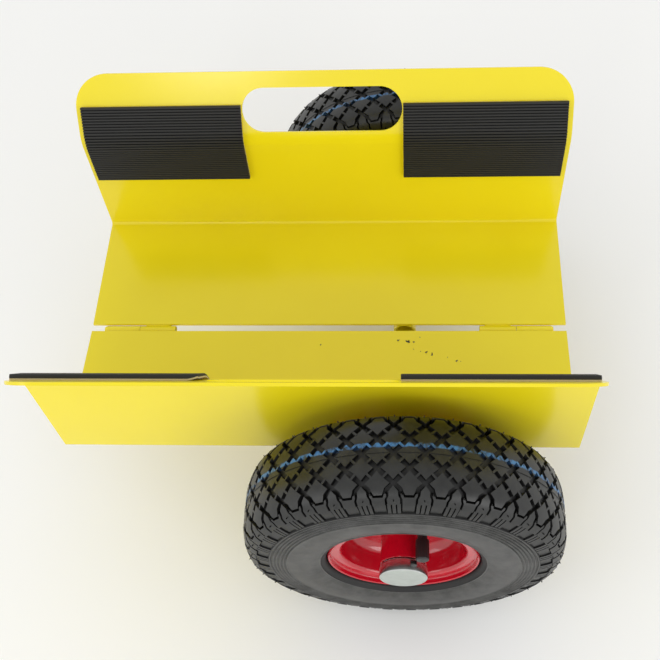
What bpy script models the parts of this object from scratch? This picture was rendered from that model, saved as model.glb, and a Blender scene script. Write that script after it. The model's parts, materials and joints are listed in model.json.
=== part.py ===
"""Self-clamping panel dolly, modelled in metres with +Z up.

Two bent steel plates are hinged along their lower inner edges. Each carries an axle tube with
one pneumatic wheel. A panel stands on the lower runs, its weight pushes the hinge down, and the
padded upper ends of the plates close on it.

The hinge line runs along X. The rear half stands at +Y and the front half at -Y. The origin is
on the floor under the middle of the hinge line.
"""
import math

import bmesh
import bpy
from mathutils import Matrix, Vector

# Clearances
SEAT_GAP = 0.0003            # between pieces that touch or are welded
RUN_GAP = 0.0003             # between pieces that turn on each other

# Plate, measured along its trough side
PLATE_WIDTH = 0.425
SHEET = 0.0025
LOWER_RUN = 0.1145           # hinge edge to the crease
UPRIGHT_RUN = 0.1098         # crease to the kink
FLARE_RUN = 0.0578           # kink to the top edge
CREASE_ANGLE = math.radians(87.0)
KINK_ANGLE = math.radians(31.8)
CREASE_RADIUS = 0.003
KINK_RADIUS = 0.030
CORNER_RADIUS = 0.030
REST_SLOPE = math.radians(2.1)

# Hand slot in the flared strip
SLOT_LENGTH = 0.137
SLOT_HEIGHT = 0.038
SLOT_ABOVE_KINK = 0.0249     # kink to the slot's centre line

# Hinge
EDGE_INSET = 0.0038          # pin axis to the plate's inner edge
PIN_DROP = 0.0042            # pin axis below the trough side of the lower run
KNUCKLE_LENGTH = 0.0323
KNUCKLE_CHAMFER = 0.0008
HINGE_INSET = 0.0435         # plate side to the middle of a hinge
PIN_RADIUS = 0.0024
PIN_RECESS = 0.0010          # pin end inside the knuckle's mouth

# Grip pads
PAD_WIDTH = 0.1385
PAD_SIDE_MARGIN = 0.0047     # plate side to the pad
PAD_BELOW_KINK = 0.0454
PAD_ABOVE_KINK = 0.0298
PAD_THICKNESS = 0.0030
BACKING_THICKNESS = 0.0010

# Axle tube and what holds the wheel on it
AXLE_RADIUS = 0.0100
AXLE_WALL = 0.0020
AXLE_LEAN = math.radians(1.9)    # the outer end stands away from the lower run
WHEEL_OFFSET = 0.0702        # middle of the plate to the axle
WHEEL_CENTRE = 0.1752        # tube's inner end to the wheel's middle plane
COLLAR_RADIUS = 0.0145
COLLAR_LENGTH = 0.0070
WASHER_RADIUS = 0.0165
WASHER_THICKNESS = 0.0015
CAP_RADIUS = 0.0189
CAP_LENGTH = 0.0092
CAP_END_WALL = 0.0020
CAP_EDGE = 0.0008

# Tyre
TYRE_RADIUS = 0.1275
TYRE_HALF_WIDTH = 0.0390
TREAD_HALF_WIDTH = 0.0265
CROWN_DROP = 0.0035
WIDEST_RADIUS = 0.0860
SIDEWALL = 0.0045
TREAD_THICKNESS = 0.0085
BLOCK_HEIGHT = 0.0022        # tread blocks above the tread's floor
LUG_HEIGHT = 0.0014          # shoulder lugs above it
GROOVE_WIDTH = 0.0026
BEAD_HEIGHT = 0.0090
BEAD_WIDTH = 0.0095
CAVITY_FOOT = math.radians(52.0)

# Inner tube, slit on its inner side
TUBE_WALL = 0.0018
TUBE_SLIT = 0.0030

# Pressed rim halves
RIM_SHEET = 0.0018
LIP_RADIUS = 0.0600
LIP_PLANE = 0.0310
FLANGE_PLANE = 0.0272        # middle plane to the outside of the flange's flat
BEAD_SEAT_RADIUS = 0.0508
BOWL_RADIUS = 0.0120

# Hub
HUB_RADIUS = 0.0180
HUB_WALL = 0.0017
HUB_HALF_LENGTH = 0.0350
BEARING_WIDTH = 0.0070
BEARING_RECESS = 0.0005

# Bent tyre valve
VALVE_RADIUS = 0.0039
VALVE_FROM_AXLE = 0.0272     # axle to the stem's straight end
VALVE_PLANE = 0.0080         # wheel's middle plane to the stem's radial part
VALVE_BEND_RADIUS = 0.0080
VALVE_ANGLE = math.radians(57.5)
VALVE_TIP = 0.0360           # wheel's middle plane to the end of the stem
VALVE_CAP_RADIUS = 0.0053
VALVE_CAP_START = 0.0220
VALVE_CAP_LENGTH = 0.0180
VALVE_HOLE_GAP = 0.0005

# Mesh steps
WHEEL_STEPS = 32
HUB_STEPS = 20
SMALL_STEPS = 12
CROWN_STEPS = 2
SECTION_STEPS = 3
CAVITY_STEPS = 6
BOWL_STEPS = 4
CREASE_STEPS = 4
KINK_STEPS = 5


def clear_scene():
    for old in list(bpy.data.objects):
        bpy.data.objects.remove(old, do_unlink=True)


def new_collection(name):
    group = bpy.data.collections.new(name)
    bpy.context.scene.collection.children.link(group)
    return group


def new_material(name, colour, roughness, metallic=0.0):
    material = bpy.data.materials.new(name)
    material.use_nodes = True
    shader = material.node_tree.nodes["Principled BSDF"]
    shader.inputs["Base Color"].default_value = (*colour, 1.0)
    shader.inputs["Roughness"].default_value = roughness
    shader.inputs["Metallic"].default_value = metallic
    return material


def put_in(group, thing, parent=None, location=(0, 0, 0), rotation=(0, 0, 0)):
    group.objects.link(thing)
    thing.parent = parent
    thing.location = location
    thing.rotation_euler = rotation
    return thing


def new_empty(name, parent=None, location=(0, 0, 0), rotation=(0, 0, 0)):
    return put_in(PARTS, bpy.data.objects.new(name, None), parent, location, rotation)


def add_part(name, mesh, material, parent, location=(0, 0, 0), rotation=(0, 0, 0)):
    part = put_in(PARTS, bpy.data.objects.new(name, mesh), parent, location, rotation)
    mesh.materials.clear()
    mesh.materials.append(material)
    return part


def turned_mesh(name, profile, closed=True):
    """Profile of (radius, height) points in the XZ plane, for a Screw modifier about Z."""
    mesh = bpy.data.meshes.new(name)
    points = [(radius, 0.0, height) for radius, height in profile]
    edges = [(i, i + 1) for i in range(len(points) - 1)]
    if closed:
        edges.append((len(points) - 1, 0))
    mesh.from_pydata(points, edges, [])
    return mesh


def add_turned(name, profile, steps, material, parent, location=(0, 0, 0), rotation=(0, 0, 0),
               shell=0.0, on_axis=False):
    """Turned piece. The profile runs down its outer side; a shell gets its thickness later."""
    closed = not (shell or on_axis)
    part = add_part(name, turned_mesh(name, profile, closed), material, parent, location, rotation)
    screw = part.modifiers.new("Turn", "SCREW")
    screw.steps = steps
    screw.render_steps = steps
    screw.use_merge_vertices = True
    screw.merge_threshold = 0.00001
    screw.use_smooth_shade = True
    if shell:
        wall = part.modifiers.new("Sheet", "SOLIDIFY")
        wall.thickness = shell
        wall.offset = 0.0
        wall.use_even_offset = True
    return part


def ring_profile(inner, outer, low, high, chamfer_low=0.0, chamfer_high=0.0):
    """Square ring section, with optional chamfers on its outer edges."""
    points = [(inner, high)]
    if chamfer_high:
        points += [(outer - chamfer_high, high), (outer, high - chamfer_high)]
    else:
        points.append((outer, high))
    if chamfer_low:
        points += [(outer, low + chamfer_low), (outer - chamfer_low, low)]
    else:
        points.append((outer, low))
    points.append((inner, low))
    return points


def ellipse_arc(centre, radial, axial, start, end, count):
    """Points of (radius, height) on an ellipse, angle 0 towards the height's side."""
    points = []
    for i in range(count + 1):
        angle = start + (end - start) * i / count
        points.append((centre[0] + radial * math.sin(angle), centre[1] + axial * math.cos(angle)))
    return points


# Bent sheet: the blank is flat, and each point is then carried round the two bends

def bend_layout():
    """Straight lengths and bend starts along the trough side, from the hinge edge."""
    crease_tangent = CREASE_RADIUS * math.tan(CREASE_ANGLE / 2)
    kink_tangent = KINK_RADIUS * math.tan(KINK_ANGLE / 2)
    crease_start = LOWER_RUN - crease_tangent
    crease_end = crease_start + CREASE_RADIUS * CREASE_ANGLE
    kink_start = crease_end + UPRIGHT_RUN - crease_tangent - kink_tangent
    kink_end = kink_start + KINK_RADIUS * KINK_ANGLE
    top = kink_end + FLARE_RUN - kink_tangent
    return crease_start, crease_end, kink_start, kink_end, top


def kink_station():
    """The middle of the kink's bend, from which the pads and the slot are measured."""
    _, _, kink_start, kink_end, _ = bend_layout()
    return (kink_start + kink_end) / 2


def bent_point(station, height):
    """Place of a blank's point: station along the sheet, height above its trough side."""
    crease_start, crease_end, kink_start, kink_end, _ = bend_layout()
    place = Vector((EDGE_INSET, PIN_DROP))
    heading = 0.0
    run = min(station, crease_start)
    place += run * Vector((1.0, 0.0))
    if station > crease_start:
        turn = min(station, crease_end) - crease_start
        angle = turn / CREASE_RADIUS
        place += CREASE_RADIUS * Vector((math.sin(angle), 1 - math.cos(angle)))
        heading = angle
    if station > crease_end:
        run = min(station, kink_start) - crease_end
        place += run * Vector((math.cos(heading), math.sin(heading)))
    if station > kink_start:
        turn = min(station, kink_end) - kink_start
        angle = turn / KINK_RADIUS
        across = Vector((math.sin(heading), -math.cos(heading)))
        ahead = Vector((math.cos(heading), math.sin(heading)))
        place += KINK_RADIUS * (math.sin(angle) * ahead + (1 - math.cos(angle)) * across)
        heading -= angle
    if station > kink_end:
        run = station - kink_end
        place += run * Vector((math.cos(heading), math.sin(heading)))
    inward = Vector((-math.sin(heading), math.cos(heading)))
    return place + height * inward


def blank_mesh(name, loops, low, high):
    """Flat blank between two heights, from outlines of (x, station) with a bend ready to follow."""
    curve = bpy.data.curves.new(name, "CURVE")
    curve.dimensions = "2D"
    curve.fill_mode = "BOTH"
    curve.extrude = (high - low) / 2
    for loop in loops:
        spline = curve.splines.new("POLY")
        spline.points.add(len(loop) - 1)
        for point, (x, station) in zip(spline.points, loop):
            point.co = (x, station, 0.0, 1.0)
        spline.use_cyclic_u = True
    guide = bpy.data.objects.new(name + "_outline", curve)
    CUTTERS.objects.link(guide)
    graph = bpy.context.evaluated_depsgraph_get()
    mesh = bpy.data.meshes.new_from_object(guide.evaluated_get(graph))
    bpy.data.objects.remove(guide, do_unlink=True)
    sheet = bmesh.new()
    sheet.from_mesh(mesh)
    bmesh.ops.remove_doubles(sheet, verts=sheet.verts, dist=0.00001)
    bmesh.ops.dissolve_limit(sheet, angle_limit=0.001, verts=sheet.verts, edges=sheet.edges)
    bmesh.ops.translate(sheet, verts=sheet.verts, vec=(0, 0, (low + high) / 2))
    crease_start, crease_end, kink_start, kink_end, _ = bend_layout()
    cuts = []
    for start, end, count in ((crease_start, crease_end, CREASE_STEPS),
                              (kink_start, kink_end, KINK_STEPS)):
        cuts += [start + (end - start) * i / count for i in range(count + 1)]
    for station in cuts:
        everything = sheet.verts[:] + sheet.edges[:] + sheet.faces[:]
        bmesh.ops.bisect_plane(sheet, geom=everything, dist=0.0000005,
                               plane_co=(0, station, 0), plane_no=(0, 1, 0))
    for vert in sheet.verts:
        x, station, height = vert.co
        across, up = bent_point(station, height)
        vert.co = (x, across, up)
    bmesh.ops.recalc_face_normals(sheet, faces=sheet.faces)
    sheet.to_mesh(mesh)
    sheet.free()
    return mesh


def arc_points(centre, radius, start, end, count):
    points = []
    for i in range(count + 1):
        angle = start + (end - start) * i / count
        points.append((centre[0] + radius * math.cos(angle), centre[1] + radius * math.sin(angle)))
    return points


def plate_outline():
    top = bend_layout()[-1]
    half = PLATE_WIDTH / 2
    inner = half - CORNER_RADIUS
    centre = top - CORNER_RADIUS
    loop = [(-half, 0.0), (half, 0.0)]
    loop += arc_points((inner, centre), CORNER_RADIUS, 0.0, math.pi / 2, 8)
    loop += arc_points((-inner, centre), CORNER_RADIUS, math.pi / 2, math.pi, 8)
    return loop


def slot_outline():
    middle = kink_station() + SLOT_ABOVE_KINK
    radius = SLOT_HEIGHT / 2
    inner = SLOT_LENGTH / 2 - radius
    loop = arc_points((inner, middle), radius, -math.pi / 2, math.pi / 2, 10)
    loop += arc_points((-inner, middle), radius, math.pi / 2, 3 * math.pi / 2, 10)
    return loop


def pad_outline():
    outer = PLATE_WIDTH / 2 - PAD_SIDE_MARGIN
    inner = outer - PAD_WIDTH
    low = kink_station() - PAD_BELOW_KINK
    high = kink_station() + PAD_ABOVE_KINK
    return [(inner, low), (outer, low), (outer, high), (inner, high)]


def mirrored(loop):
    return [(-x, station) for x, station in reversed(loop)]


# Wheel sections, as (radius, height) with the outer face at +height

def bead_outer_plane():
    """Where the tyre's bead stands against the flange."""
    return FLANGE_PLANE - RIM_SHEET - SEAT_GAP


def tyre_profile():
    """The tyre without its blocks and lugs."""
    bead_foot = BEAD_SEAT_RADIUS + SEAT_GAP
    bead_top = LIP_RADIUS + SEAT_GAP
    bead_plane = bead_outer_plane()
    floor = TYRE_RADIUS - BLOCK_HEIGHT
    crown = []
    for i in range(CROWN_STEPS):
        share = i / CROWN_STEPS
        crown.append((floor - CROWN_DROP * share ** 2, TREAD_HALF_WIDTH * share))
    shoulder = ellipse_arc((WIDEST_RADIUS, TREAD_HALF_WIDTH), floor - CROWN_DROP - WIDEST_RADIUS,
                           TYRE_HALF_WIDTH - TREAD_HALF_WIDTH, math.pi / 2, 0.0, SECTION_STEPS)
    wall_foot = LIP_PLANE - SEAT_GAP
    wall = ellipse_arc((WIDEST_RADIUS, wall_foot), WIDEST_RADIUS - bead_top,
                       TYRE_HALF_WIDTH - wall_foot, 0.0, -math.pi / 2, SECTION_STEPS)[1:]
    bead = [(bead_top, bead_plane), (bead_foot, bead_plane), (bead_foot, bead_plane - BEAD_WIDTH)]
    half = crown + shoulder + wall + bead
    outer = [(r, z) for r, z in reversed(half[1:])]
    outer += [(r, -z) for r, z in half]
    return outer + cavity_section(0.0)


def cavity_section(inset):
    """The tyre's hollow, drawn in by an inset, from its inboard foot over the crown."""
    low = BEAD_SEAT_RADIUS + BEAD_HEIGHT + inset
    high = TYRE_RADIUS - TREAD_THICKNESS - inset
    wide = TYRE_HALF_WIDTH - SIDEWALL - inset
    return ellipse_arc(((low + high) / 2, 0.0), (high - low) / 2, wide,
                       math.pi + CAVITY_FOOT, -CAVITY_FOOT, CAVITY_STEPS)


def tube_profile():
    """Inner tube in the tyre's hollow, open along a slit beside the rim."""
    outer = cavity_section(SEAT_GAP)
    inner = cavity_section(SEAT_GAP + TUBE_WALL)
    low = BEAD_SEAT_RADIUS + BEAD_HEIGHT + SEAT_GAP
    foot = [(low, -TUBE_SLIT / 2), (low + TUBE_WALL, -TUBE_SLIT / 2)]
    other_foot = [(low + TUBE_WALL, TUBE_SLIT / 2), (low, TUBE_SLIT / 2)]
    return outer[::-1] + foot + inner + other_foot


def rim_half_profile():
    """Middle surface of the outer rim half, from its lip down to the hub."""
    half_sheet = RIM_SHEET / 2
    seat = BEAD_SEAT_RADIUS - half_sheet
    flange = FLANGE_PLANE - half_sheet
    disc = half_sheet + SEAT_GAP / 2
    hub = HUB_RADIUS + SEAT_GAP
    bowl = ellipse_arc((seat - BOWL_RADIUS, disc + BOWL_RADIUS), BOWL_RADIUS, BOWL_RADIUS,
                       math.pi / 2, math.pi, BOWL_STEPS)
    points = [(LIP_RADIUS - half_sheet, LIP_PLANE), (LIP_RADIUS - 2 * half_sheet, flange + half_sheet)]
    points += [(LIP_RADIUS - 3 * half_sheet, flange), (seat + half_sheet, flange)]
    points += [(seat, flange - half_sheet)]
    points += bowl
    points.append((hub, disc))
    return points


def lowest_point():
    """Lowest point of a wheel at rest, relative to the hinge pin."""
    slope = REST_SLOPE - AXLE_LEAN
    foot = EDGE_INSET * math.sin(REST_SLOPE) + AXLE_DROP * math.cos(REST_SLOPE)
    return foot + WHEEL_CENTRE * math.sin(slope) - TYRE_RADIUS * math.cos(slope)


def valve_place(x_sign, radius, height):
    """Point of the valve's plane, which holds the axle, in the wheel's own axes."""
    across = radius * math.cos(VALVE_ANGLE)
    return Vector((x_sign * across, -radius * math.sin(VALVE_ANGLE), height))


def valve_cutter(name, parent, x_sign):
    """Radial hole through the outer rim half's bowl for the valve's stem."""
    mesh = bpy.data.meshes.new(name)
    shape = bmesh.new()
    bmesh.ops.create_cone(shape, cap_ends=True, segments=SMALL_STEPS,
                          radius1=VALVE_RADIUS + VALVE_HOLE_GAP,
                          radius2=VALVE_RADIUS + VALVE_HOLE_GAP, depth=2 * BOWL_RADIUS)
    shape.to_mesh(mesh)
    shape.free()
    outward = valve_place(x_sign, 1.0, 0.0)
    cutter = put_in(CUTTERS, bpy.data.objects.new(name, mesh), parent,
                    valve_place(x_sign, BEAD_SEAT_RADIUS, VALVE_PLANE))
    cutter.rotation_euler = outward.to_track_quat("Z", "Y").to_euler()
    cutter.hide_render = True
    cutter.display_type = "WIRE"
    return cutter


def cut_with(part, cutter):
    cut = part.modifiers.new("Hole", "BOOLEAN")
    cut.operation = "DIFFERENCE"
    cut.solver = "EXACT"
    cut.object = cutter


def build_plate(side, half, x_sign):
    """Plate, its pads and their adhesive backings. Right is the dolly's +X end on both halves."""
    top_side = blank_mesh(side + "_plate", [plate_outline(), slot_outline()], -SHEET, 0.0)
    add_part(side + "_plate", top_side, YELLOW, half)
    hands = ("right", "left") if x_sign > 0 else ("left", "right")
    for hand, loop in zip(hands, (pad_outline(), mirrored(pad_outline()))):
        low = SEAT_GAP
        backing = blank_mesh(side + "_backing", [loop], low, low + BACKING_THICKNESS)
        add_part(side + "_pad_backing_" + hand, backing, CREAM, half)
        low += BACKING_THICKNESS + SEAT_GAP
        pad = blank_mesh(side + "_pad", [loop], low, low + PAD_THICKNESS)
        add_part(side + "_pad_" + hand, pad, PAD_BLACK, half)


def build_hinge(hand, x_sign):
    """The front half owns the outer knuckle, and the rear half the inner one and the pin."""
    inner_end = HINGE_OFFSET - RUN_GAP / 2 - KNUCKLE_LENGTH
    outer_end = HINGE_OFFSET + RUN_GAP / 2 + KNUCKLE_LENGTH
    bore = PIN_RADIUS + RUN_GAP
    inner = ring_profile(bore, KNUCKLE_RADIUS, inner_end, HINGE_OFFSET - RUN_GAP / 2,
                         chamfer_low=KNUCKLE_CHAMFER)
    outer = ring_profile(bore, KNUCKLE_RADIUS, HINGE_OFFSET + RUN_GAP / 2, outer_end,
                         chamfer_high=KNUCKLE_CHAMFER)
    pin = [(0.0, outer_end - PIN_RECESS), (PIN_RADIUS, outer_end - PIN_RECESS),
           (PIN_RADIUS, inner_end + PIN_RECESS), (0.0, inner_end + PIN_RECESS)]
    along = (0, x_sign * math.pi / 2, 0)
    add_turned("hinge_" + hand + "_rear_knuckle", inner, SMALL_STEPS, YELLOW, REAR, rotation=along)
    add_turned("hinge_" + hand + "_pin", pin, SMALL_STEPS, STEEL, REAR, rotation=along, on_axis=True)
    against = (0, -x_sign * math.pi / 2, 0)
    add_turned("hinge_" + hand + "_front_knuckle", outer, SMALL_STEPS, YELLOW, FRONT,
               rotation=against)


def build_axle(side, half, x_sign):
    """Axle tube welded under the lower run by its inner end, with its collar, washers and cap."""
    middle = WHEEL_CENTRE
    hub_inner = middle - HUB_HALF_LENGTH - SEAT_GAP
    hub_outer = middle + HUB_HALF_LENGTH + SEAT_GAP
    cap_start = hub_outer + WASHER_THICKNESS + SEAT_GAP
    cap_end = cap_start + CAP_LENGTH
    tube_end = cap_end - CAP_END_WALL - SEAT_GAP
    seat = AXLE_RADIUS + SEAT_GAP
    place = {"location": (x_sign * WHEEL_OFFSET, EDGE_INSET, AXLE_DROP),
             "rotation": (-math.pi / 2 - AXLE_LEAN, 0, 0)}
    tube_start = AXLE_RADIUS * math.sin(AXLE_LEAN)
    tube = ring_profile(AXLE_RADIUS - AXLE_WALL, AXLE_RADIUS, tube_start, tube_end)
    add_turned(side + "_axle_tube", tube, HUB_STEPS, YELLOW, half, **place)
    washer_low = hub_inner - WASHER_THICKNESS
    collar_high = washer_low - SEAT_GAP
    collar = ring_profile(seat, COLLAR_RADIUS, collar_high - COLLAR_LENGTH, collar_high)
    add_turned(side + "_axle_collar", collar, HUB_STEPS, ZINC, half, **place)
    inner = ring_profile(seat, WASHER_RADIUS, washer_low, hub_inner)
    add_turned(side + "_inner_washer", inner, HUB_STEPS, ZINC, half, **place)
    outer = ring_profile(seat, WASHER_RADIUS, hub_outer, hub_outer + WASHER_THICKNESS)
    add_turned(side + "_outer_washer", outer, HUB_STEPS, ZINC, half, **place)
    floor = cap_end - CAP_END_WALL
    cap = [(0.0, cap_end), (CAP_RADIUS - CAP_EDGE, cap_end), (CAP_RADIUS, cap_end - CAP_EDGE),
           (CAP_RADIUS, cap_start), (seat, cap_start), (seat, floor), (0.0, floor)]
    add_turned(side + "_axle_cap", cap, HUB_STEPS, ZINC, half, on_axis=True, **place)


def ring_row(vert):
    """Which ring of the tread a vertex is in, 0 in the middle, or None outside the tread."""
    row = vert.co.z / TREAD_HALF_WIDTH * CROWN_STEPS
    outside = math.hypot(vert.co.x, vert.co.y) > TYRE_RADIUS - TREAD_THICKNESS + 0.0005
    on_ring = abs(row - round(row)) < 0.01 and abs(row) < CROWN_STEPS + 0.5
    return round(row) if outside and on_ring else None


def add_tread(tyre):
    """Raises diamond blocks round the crown and a pointed lug on each shoulder between them."""
    graph = bpy.context.evaluated_depsgraph_get()
    tyre.data = bpy.data.meshes.new_from_object(tyre.evaluated_get(graph))
    tyre.modifiers.clear()
    shape = bmesh.new()
    shape.from_mesh(tyre.data)
    half_pitch = Matrix.Rotation(math.pi / WHEEL_STEPS, 3, "Z")
    for vert in shape.verts:
        if ring_row(vert) in (-1, 1):
            vert.co = half_pitch @ vert.co
    crown = [face for face in shape.faces if all(ring_row(v) is not None for v in face.verts)]
    corners = {vert for face in crown for vert in face.verts}
    bmesh.ops.triangulate(shape, faces=crown, quad_method="SHORT_EDGE")
    middles = []
    for edge in shape.edges:
        rows = [ring_row(vert) for vert in edge.verts]
        if rows[0] == rows[1] and rows[0] in (-1, 0, 1):
            middles.append(edge)
    bmesh.ops.dissolve_edges(shape, edges=middles, use_verts=False)
    crown = [face for face in shape.faces if corners.issuperset(face.verts)]
    lugs = []
    for tip in crown:
        if len(tip.verts) == 3:
            base = max(tip.edges, key=lambda edge: abs(edge.verts[0].co.z + edge.verts[1].co.z))
            upper = next(face for face in base.link_faces if face is not tip)
            lower = next(face for edge in upper.edges if not set(edge.verts) & set(base.verts)
                         for face in edge.link_faces if face is not upper)
            lugs.append([tip, upper, lower])
    blocks = [face for face in crown if len(face.verts) == 4]
    bmesh.ops.inset_individual(shape, faces=blocks, thickness=GROOVE_WIDTH / 2,
                               depth=BLOCK_HEIGHT, use_even_offset=True)
    for lug in lugs:
        bmesh.ops.inset_region(shape, faces=lug, thickness=GROOVE_WIDTH / 2, depth=LUG_HEIGHT,
                               use_boundary=True, use_even_offset=True)
    shape.to_mesh(tyre.data)
    shape.free()


def build_wheel(side, half, x_sign):
    """Wheel on its own empty, which turns about the axle."""
    centre = (x_sign * WHEEL_OFFSET, EDGE_INSET + WHEEL_CENTRE * math.cos(AXLE_LEAN),
              AXLE_DROP - WHEEL_CENTRE * math.sin(AXLE_LEAN))
    wheel = new_empty(side + "_wheel", half, centre, (-math.pi / 2 - AXLE_LEAN, 0, 0))
    add_tread(add_turned(side + "_tyre", tyre_profile(), WHEEL_STEPS, TYRE_BLACK, wheel))
    add_turned(side + "_inner_tube", tube_profile(), WHEEL_STEPS, TUBE_BLACK, wheel)
    outer_half = add_turned(side + "_rim_outer", rim_half_profile(), WHEEL_STEPS, RED, wheel,
                            shell=RIM_SHEET)
    cut_with(outer_half, valve_cutter(side + "_valve_hole", wheel, x_sign))
    inner_profile = [(radius, -height) for radius, height in reversed(rim_half_profile())]
    add_turned(side + "_rim_inner", inner_profile, WHEEL_STEPS, RED, wheel, shell=RIM_SHEET)
    hub = ring_profile(HUB_RADIUS - HUB_WALL, HUB_RADIUS, -HUB_HALF_LENGTH, HUB_HALF_LENGTH)
    add_turned(side + "_hub", hub, HUB_STEPS, RED, wheel)
    bearing_outer = HUB_RADIUS - HUB_WALL - SEAT_GAP
    bearing_end = HUB_HALF_LENGTH - BEARING_RECESS
    for place, sign in (("outer", 1), ("inner", -1)):
        ends = sorted((sign * bearing_end, sign * (bearing_end - BEARING_WIDTH)))
        bearing = ring_profile(AXLE_RADIUS + RUN_GAP, bearing_outer, *ends)
        add_turned(side + "_bearing_" + place, bearing, HUB_STEPS, STEEL, wheel)
    build_valve(side, wheel, x_sign)


def valve_route():
    """From the inner tube towards the axle, round the bend and out along the axle."""
    start = BEAD_SEAT_RADIUS + BEAD_HEIGHT
    corner = (VALVE_FROM_AXLE + VALVE_BEND_RADIUS, VALVE_PLANE + VALVE_BEND_RADIUS)
    route = [(start, VALVE_PLANE)]
    for i in range(7):
        angle = math.pi / 2 * i / 6
        route.append((corner[0] - VALVE_BEND_RADIUS * math.sin(angle),
                      corner[1] - VALVE_BEND_RADIUS * math.cos(angle)))
    route.append((VALVE_FROM_AXLE, VALVE_TIP))
    return route


def build_valve(side, wheel, x_sign):
    """Bent rubber stem and the cap on its end."""
    curve = bpy.data.curves.new(side + "_valve_stem", "CURVE")
    curve.dimensions = "3D"
    curve.bevel_depth = VALVE_RADIUS
    curve.bevel_resolution = 2
    curve.use_fill_caps = True
    spline = curve.splines.new("POLY")
    route = valve_route()
    spline.points.add(len(route) - 1)
    for point, (radius, height) in zip(spline.points, route):
        point.co = (*valve_place(x_sign, radius, height), 1.0)
    add_part(side + "_valve_stem", curve, TUBE_BLACK, wheel)
    bore = VALVE_RADIUS + SEAT_GAP
    low = VALVE_CAP_START
    high = low + VALVE_CAP_LENGTH
    roof = VALVE_TIP + SEAT_GAP
    cap = [(0.0, high), (VALVE_CAP_RADIUS, high), (VALVE_CAP_RADIUS, low), (bore, low),
           (bore, roof), (0.0, roof)]
    add_turned(side + "_valve_cap", cap, SMALL_STEPS, CAP_BLACK, wheel, on_axis=True,
               location=valve_place(x_sign, VALVE_FROM_AXLE, 0.0))


clear_scene()
PARTS = new_collection("panel_dolly")
CUTTERS = new_collection("cutters")

YELLOW = new_material("yellow_paint", (0.83, 0.71, 0.035), 0.25)
RED = new_material("red_paint", (0.60, 0.008, 0.02), 0.25)
PAD_BLACK = new_material("pad_rubber", (0.022, 0.022, 0.022), 0.75)
CREAM = new_material("pad_backing", (0.57, 0.48, 0.34), 0.8)
TYRE_BLACK = new_material("tyre_rubber", (0.035, 0.036, 0.035), 0.7)
TUBE_BLACK = new_material("tube_rubber", (0.02, 0.02, 0.02), 0.6)
CAP_BLACK = new_material("valve_plastic", (0.012, 0.012, 0.012), 0.45)
ZINC = new_material("zinc_plate", (0.62, 0.64, 0.62), 0.3, 1.0)
STEEL = new_material("bright_steel", (0.55, 0.55, 0.56), 0.25, 1.0)

# Sizes that follow from the ones above
HINGE_OFFSET = PLATE_WIDTH / 2 - HINGE_INSET
KNUCKLE_RADIUS = math.hypot(EDGE_INSET, PIN_DROP - SHEET) - RUN_GAP
AXLE_DROP = PIN_DROP - SHEET - SEAT_GAP - AXLE_RADIUS
PIN_HEIGHT = -lowest_point()

REAR = new_empty("rear_half", location=(0, 0, PIN_HEIGHT), rotation=(REST_SLOPE, 0, 0))
FRONT = new_empty("front_half", location=(0, 0, PIN_HEIGHT), rotation=(REST_SLOPE, 0, math.pi))

for SIDE, HALF, X_SIGN in (("rear", REAR, 1), ("front", FRONT, -1)):
    build_plate(SIDE, HALF, X_SIGN)
    build_axle(SIDE, HALF, X_SIGN)
    build_wheel(SIDE, HALF, X_SIGN)

for HAND, X_SIGN in (("right", 1), ("left", -1)):
    build_hinge(HAND, X_SIGN)

bpy.context.view_layer.update()
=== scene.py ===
"""Panel dolly as it is photographed: bent yellow plates, ribbed grip pads, treaded tyres on red rims.

Pieces are built in the axes of what carries them. In a half's axes, X runs along the hinge line,
Y from the hinge out to the wheel and Z up from the sheet. In a wheel's axes, Z runs out along the
axle and the middle of the tyre is at Z = 0. Lengths are in metres.
"""

import json
import math

import bmesh
import bpy
from mathutils import Matrix, Vector, noise


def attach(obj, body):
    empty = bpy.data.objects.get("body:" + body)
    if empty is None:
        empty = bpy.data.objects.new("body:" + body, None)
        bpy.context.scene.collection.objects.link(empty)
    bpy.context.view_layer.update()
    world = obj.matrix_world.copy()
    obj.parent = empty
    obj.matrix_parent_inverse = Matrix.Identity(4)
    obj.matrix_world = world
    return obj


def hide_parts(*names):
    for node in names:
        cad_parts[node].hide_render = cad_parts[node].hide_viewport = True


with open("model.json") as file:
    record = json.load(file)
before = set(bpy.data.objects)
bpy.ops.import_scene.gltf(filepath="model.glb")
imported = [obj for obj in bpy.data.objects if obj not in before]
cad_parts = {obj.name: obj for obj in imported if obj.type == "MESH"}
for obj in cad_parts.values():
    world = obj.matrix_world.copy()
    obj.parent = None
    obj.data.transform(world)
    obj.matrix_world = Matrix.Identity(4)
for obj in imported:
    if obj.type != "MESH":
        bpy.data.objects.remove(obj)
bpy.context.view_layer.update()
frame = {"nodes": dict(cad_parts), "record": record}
JOINTS = {joint["name"]: joint for joint in frame["record"]["behaviour"]["joints"]}
PIN = Vector(JOINTS["clamp_hinge"]["pos_m"])
WHEEL_X = JOINTS["rear_wheel_spin"]["pos_m"][0]
TOUCHING = 0.0000005         # points nearer than this are one

# Bent plates
PLATE_WIDTH = 0.425
SHEET = 0.0025
LOWER_RUN = 0.1145
UPRIGHT_RUN = 0.1098
FLARE_RUN = 0.0578
CREASE_ANGLE = math.radians(87.0)
KINK_ANGLE = math.radians(31.8)
CREASE_RADIUS = 0.003
KINK_RADIUS = 0.030
CORNER_RADIUS = 0.030
REST_SLOPE = math.radians(2.1)
SLOT_LENGTH = 0.137
SLOT_HEIGHT = 0.038
SLOT_ABOVE_KINK = 0.0249
SHEET_EDGE = 0.00045         # paint rounds the cut edges

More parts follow.
